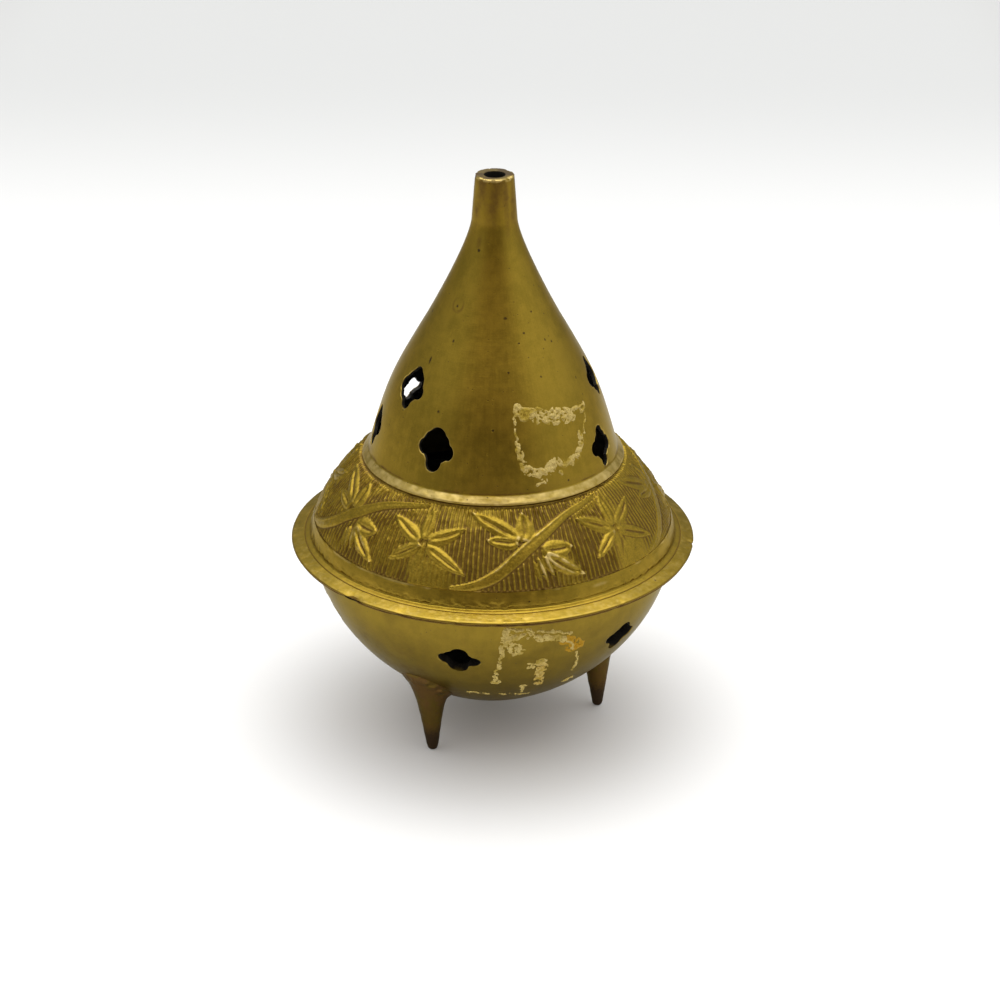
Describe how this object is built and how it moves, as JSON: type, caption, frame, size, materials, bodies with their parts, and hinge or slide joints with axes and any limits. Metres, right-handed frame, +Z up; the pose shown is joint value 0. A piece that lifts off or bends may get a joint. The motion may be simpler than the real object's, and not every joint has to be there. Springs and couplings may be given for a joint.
{
  "type": "tripod incense burner",
  "caption": "Lidded incense burner in cast brass: a round bowl on spike legs, and a bell-shaped lid with pierced vents, a leaf-pattern shoulder and a straight chimney.",
  "frame": {"origin": "on the ground, on the upright axis that the bowl and the lid are turned on", "axes": "+Z up, along the chimney; -Y to the front, the side that the picture shows; +X to the right of the picture"},
  "size_m": [0.076, 0.076, 0.1079],
  "materials": {
    "lid_brass": "turned brass with aged, olive-gold patina, cast pattern left rough in its recesses",
    "bowl_brass": "turned brass with aged, olive-gold patina, browner towards the underside",
    "leg_brass": "tarnished, brown-stained brass"
  },
  "bodies": {
    "base": {"bowl": "bowl_brass", "leg_front_left": "leg_brass", "leg_right": "leg_brass", "leg_rear": "leg_brass"},
    "lid": {"lid": "lid_brass"}
  },
  "joints": [
    {"name": "lid_lift", "type": "slide", "parent": "base", "child": "lid", "axis": [0, 0, 1], "range_m": [0, 0.06]}
  ]
}
